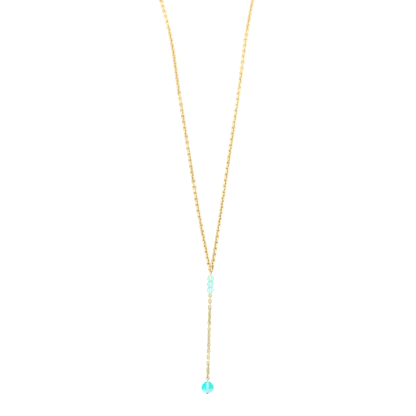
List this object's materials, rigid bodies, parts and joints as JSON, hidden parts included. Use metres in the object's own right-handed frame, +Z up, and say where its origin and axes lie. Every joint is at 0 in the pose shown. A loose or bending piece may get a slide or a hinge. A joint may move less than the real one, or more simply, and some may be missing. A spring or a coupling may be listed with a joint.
{
  "type": "y necklace",
  "caption": "Y necklace: a fine gold cable chain in a V, small pale green cut beads on a wire bar, and a hanging tail of links with a larger aqua cut bead",
  "frame": {"origin": "middle of the neck opening, where the necklace goes round the neck", "axes": "+Z up along the hanging tail, -Y to the front, +X to the right seen from the front"},
  "size_m": [0.1148, 0.1549, 0.285],
  "materials": {
    "gold": "polished pale gold plate",
    "pale_glass": "pale mint glass with a pearly coat, cut in facets",
    "aqua_glass": "clear aqua glass with a faint pearly coat, cut in facets"
  },
  "bodies": {
    "necklace": {"chain_left": "gold", "chain_right": "gold", "clasp": "gold", "end_link_left": "gold", "end_link_right": "gold", "bar_pin": "gold", "bar_bead_1": "pale_glass", "bar_bead_2": "pale_glass", "bar_bead_3": "pale_glass", "tail_link_01": "gold", "tail_link_02": "gold", "tail_link_03": "gold", "tail_link_04": "gold", "tail_link_05": "gold", "tail_link_06": "gold", "tail_link_07": "gold", "tail_link_08": "gold", "tail_link_09": "gold", "tail_link_10": "gold", "tail_link_11": "gold", "tail_link_12": "gold", "tail_link_13": "gold", "tail_link_14": "gold", "tail_link_15": "gold", "tail_link_16": "gold", "tail_link_17": "gold", "tail_link_18": "gold", "tail_link_19": "gold", "tail_link_20": "gold", "tail_link_21": "gold", "tail_link_22": "gold", "tail_link_23": "gold", "tail_link_24": "gold", "tail_link_25": "gold", "tail_link_26": "gold"},
    "drop": {"drop_pin": "gold", "drop_bead": "aqua_glass"}
  },
  "joints": [
    {"name": "drop_swing", "type": "hinge", "parent": "necklace", "child": "drop", "pos_m": [0, -0.09, -0.25325], "axis": [0, 1, 0], "range_deg": [-60, 60]}
  ]
}
